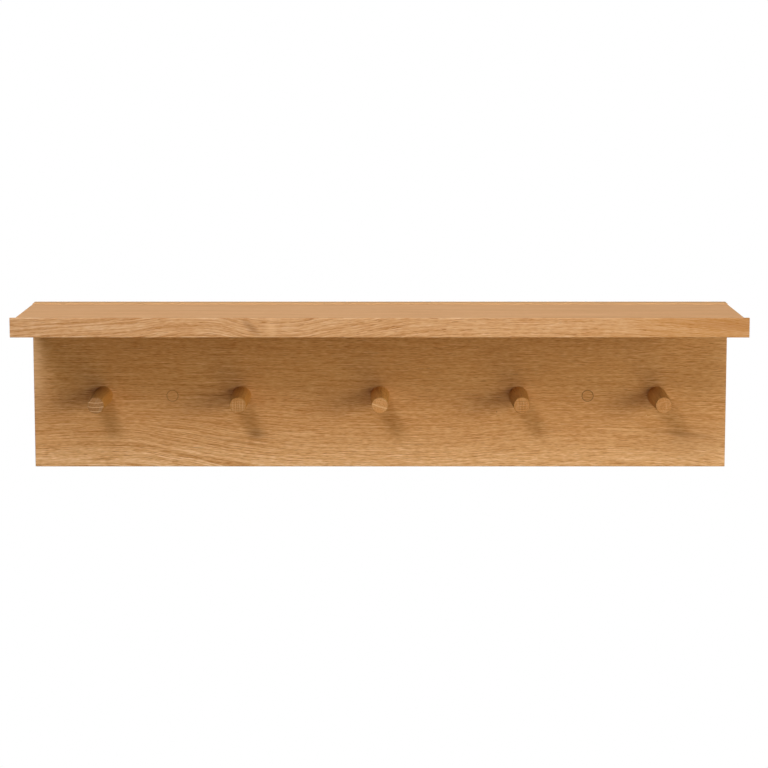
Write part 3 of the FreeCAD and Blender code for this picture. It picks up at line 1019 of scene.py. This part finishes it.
def board_finishes() -> dict[str, OiledOak]:
    """Picks the oak of the three flat pieces, each with its own place in a log.

    Returns:
        The finish of each flat CAD node.
    """
    glue, dark_grain_and_painted_shadow, pale_line, soft_line = "#5A3A1C", "#8A5F36", "#EFC796", "#99683A"
    board = OiledOak(
        "planed_oiled_oak_board",
        Log(
            centre_mm=(0, -16, 0),
            heart_mm=(60, -130),
            ring_mm=2.2,
            rise=((0, 13), (0.11, 14), (0.2, 9), (0.34, 0), (0.42, -2), (0.55, -3), (0.8, 4), (1, -3)),
            edges_mm=(-78, 101),
            fan=((-40, 1.9), (-2, 0.1)),
        ),
        pale="#E6BD8F",
        dark="#A56B32",
        ring_depth=0.32,
        break_mm=(90, 5),
        fibre=Layer(1.25, (7, 0.6)),
        thread=Layer(0.85, (36, 0.72)),
        streak=Layer(0.42, (110, 2)),
        band=Layer(0.14, (200, 7)),
        figure=(1.02, 0.12),
        bold=((0, 0.9), (0.12, 1.1), (0.3, 1.1), (0.42, 0.65), (1, 0.5)),
        # Paler towards the lower edge; the slight rise towards the top is painted light on the board under
        # the shelf.
        shade=(
            (0, 0.38), (0.06, 0.32), (0.11, 0.21), (0.17, 0.1), (0.23, 0.03),
            (0.29, -0.02), (0.35, -0.02), (0.45, 0.02), (1, 0.06),
        ),
        marks=(
            Mark((-225, 0), (6.2, 6.2), glue, 0.6, rim=0.07),
            Mark((225, 0), (6.2, 6.2), glue, 0.9, rim=0.07),
            Mark((126.5, -17.6), (1.1, 1.1), "#5C3718", 0.8),
            Mark((289, -21.5), (1.2, 1), "#F0D2A4", 0.6),
            Mark((330, -42), (52, 5), dark_grain_and_painted_shadow, 0.35, turn_deg=7),
            Mark((262, -37), (42, 2.2), pale_line, 0.45, turn_deg=3),
            # A dark figure in the wood below peg 2's tip, and painted shadow that deepens that peg's cast
            # shadow.
            Mark((-134, -42), (15, 9), dark_grain_and_painted_shadow, 0.5),
            Mark((-199, -57), (13, 1), dark_grain_and_painted_shadow, 0.5, turn_deg=2),
            # Painted light: a paler band down the board's left end, where light slips past the end of the
            # shelf.
            Mark((-378, 45), (26, 100), "#EFD2B0", 0.3),
            Mark((-200, -42), (80, 1.1), pale_line, 0.4, turn_deg=10),
            Mark((-165, -40), (70, 1), pale_line, 0.35, turn_deg=9),
            Mark((-180, -46), (80, 0.9), soft_line, 0.35, turn_deg=9.5),
            Mark((-150, -51), (60, 0.9), soft_line, 0.3, turn_deg=7),
            Mark((345, -50), (75, 36), "#A98057", 0.25),
            Mark((-355, -50), (40, 14), "#E0AB75", 0.25),
            # Painted shade: an even, slightly darker tone over the board's top edge, damping the highlight
            # there.
            Mark((0, 101), (3000, 6), "#C69A6A", 0.9, facing=(0, -1, 1)),
        ),
    )
    shelf = OiledOak(
        "rift_sawn_oiled_oak_shelf",
        Log(centre_mm=(0, -90, 100), heart_mm=(-170, 12), ring_mm=2.2),
        pale="#EBC69C",
        middle="#CD9D6F",
        dark="#A27242",
        ring_depth=0.06,
        fibre=Layer(0.35, (6, 0.65)),
        thread=Layer(0.35, (60, 0.75)),
        streak=Layer(0.25, (90, 3)),
        band=Layer(0.28, (150, 9)),
        pore=Layer(0.2, (9, 0.6)),
        relief_mm=0.02,
    )
    lip = OiledOak(
        "crown_cut_oiled_oak_lip",
        Log(
            centre_mm=(0, -160, 94),
            heart_mm=(22, -70),
            ring_mm=3.4,
            rise=((0, -9), (0.16, -1), (0.26, 6), (0.35, -4), (0.44, 4), (0.65, 22), (0.8, 22), (1, 10)),
            follow=0.8,
        ),
        pale="#E2C2A2",
        middle="#CB9D6F",
        dark="#A97039",
        pore_colour="#8E561F",
        ring_depth=0.28,
        fibre=Layer(1, (6.5, 0.5)),
        thread=Layer(0.75, (30, 0.6)),
        streak=Layer(0.5, (90, 1.4)),
        band=Layer(0.3, (200, 8)),
        pore=Layer(0.9, (8, 0.55)),
        relief_mm=0.03,
        bold=((0, 1), (0.35, 1), (0.55, 0.75), (1, 0.9)),
        marks=(
            Mark((-130, 94), (18, 6), "#84592F", 0.5, turn_deg=40),
            Mark((-110, 95), (9, 13), "#F0C89E", 0.35),
            Mark((350, 94), (190, 400), "#B47A2E", 0.42),
            Mark((365, 97), (85, 9), "#A56B32", 0.45, turn_deg=3),
        ),
    )
    return {"back_board": board, "shelf_board": shelf, "front_lip": lip}


def peg_finishes() -> list[OiledOak]:
    """Picks the oak of the pegs: each is turned from another place in the log.

    A tip's marks are its own year lines and rays, seen on end, and a thin ring of painted shade round
    its eased edge. Along a peg, painted light makes one side paler and painted shade makes the top
    darker.

    Returns:
        One finish for each peg, from left to right.
    """
    pale, brown = "#EFCDA0", "#6A4320"
    # Painted light makes one side of a peg paler, and painted shade makes its top darker.
    painted_light_side = Mark((0, 0), (40, 40), "#DFA255", 0.4, facing=(-1, 0, 0))
    painted_shade_top = Mark((0, 0), (40, 40), "#76542A", 0.4, facing=(-0.4, 0, 1))
    rightwards = (1, 0, -0.35)
    # Painted shade: a thin dark ring round each tip's eased edge, set a little towards its lower left.
    edge = Mark((-0.2, -0.2), (8.6, 8.6), brown, 0.45, rim=0.06)
    hearts = ((20, -4), (60, 0), (34, -22), (75, 8), (45, 40))
    turns = (84, 4, 35, 92, 150)
    side_tints = ("#E8E1B9", "#F3ECBF", "#FFFED6", "#EBE5BD", "#ECE6BF")
    end_tints = ("#C6C1C3", "#DBD2C4", "#F3EEEA", "#E5DACC", "#E6DBCF")
    figures = (
        (
            *(Mark((0, 40 + z), (40, 40), pale, 0.75, rim=0.014) for z in (2.6, -2.1, -6.6)),
            replace(painted_light_side, strength=0.5, facing=rightwards),
            painted_shade_top,
        ),
        (
            *(Mark((x, -0.5), (0.6, 8.5), pale, 0.4) for x in (-5.2, -2.6, 0, 2, 4.8)),
            *(Mark((0, z), (8.5, 0.5), brown, 0.35) for z in (5.3, 2.4, -0.4, -3, -5.6)),
            replace(painted_light_side, facing=rightwards),
            replace(painted_shade_top, strength=0.2),
        ),
        (
            Mark((0, -6), (9, 4.5), "#CD8F50", 0.4),
            Mark((18.7, 55.7), (60, 60), pale, 0.6, rim=0.016),
            painted_light_side,
        ),
        (
            *(Mark((x, 0), (0.6, 8), pale, 0.22) for x in (-4.4, -1.2, 1.8, 4.6)),
            *(Mark((0, z), (8.5, 0.8), brown, 0.55) for z in (4.4, 1.6, -1.4, -3.9, -6.4)),
        ),
        (
            Mark((-2, 0), (0.5, 7), brown, 0.2),
            Mark((2.5, 0), (0.5, 7), pale, 0.3),
            replace(painted_light_side, facing=(-1, 0, -0.2)),
            replace(painted_shade_top, strength=0.15),
        ),
    )
    finishes = []
    sticks = zip(hearts, turns, side_tints, end_tints, figures)
    for number, (heart, turn, side_tint, end_tint, figure) in enumerate(sticks, start=1):
        x, y, z = middle_mm(f"peg_{number}")
        finish = OiledOak(
            f"turned_oiled_oak_peg_{number}",
            Log((x, y, z), heart, Grain.ALONG_PEG, turn, wander_mm=1.5, span_mm=80),
            pale="#F1C591",
            middle="#D29E66",
            dark="#A76F37",
            side_tint=side_tint,
            end_tint=end_tint,
            gloss=0.15,
            marks=tuple(
                replace(mark, place_mm=(mark.place_mm[0] + x, mark.place_mm[1] + z))
                for mark in (*figure, edge)
            ),
        )
        finishes.append(finish)
    return finishes


def plug_finishes() -> dict[str, OiledOak]:
    """Picks the oak of the two plugs, whose grain runs with the board's, each in its glue line.

    Returns:
        The finish of the plug on each side.
    """
    finishes = {}
    for side, heart, strength in (("left", (34, -50), 0.6), ("right", (40, 60), 0.95)):
        x, y, z = middle_mm(f"cover_plug_{side}")
        finishes[side] = OiledOak(
            f"sanded_oiled_oak_plug_{side}",
            Log((x, y, z), heart, wander_mm=1.5, span_mm=40),
            marks=(Mark((x, z), (6, 6), "#5A3A1C", strength, rim=0.1),),
        )
    return finishes


def main() -> None:
    """Builds every sub-assembly in order and reports it."""
    logging.basicConfig(level=logging.INFO, format="%(message)s")
    Boards(board_finishes()).dress()
    PegRow().build(peg_finishes())
    CoverPlugs().build(plug_finishes())
    ShelfFixings().build()
    Studio().build()


if __name__ == "__main__":
    main()
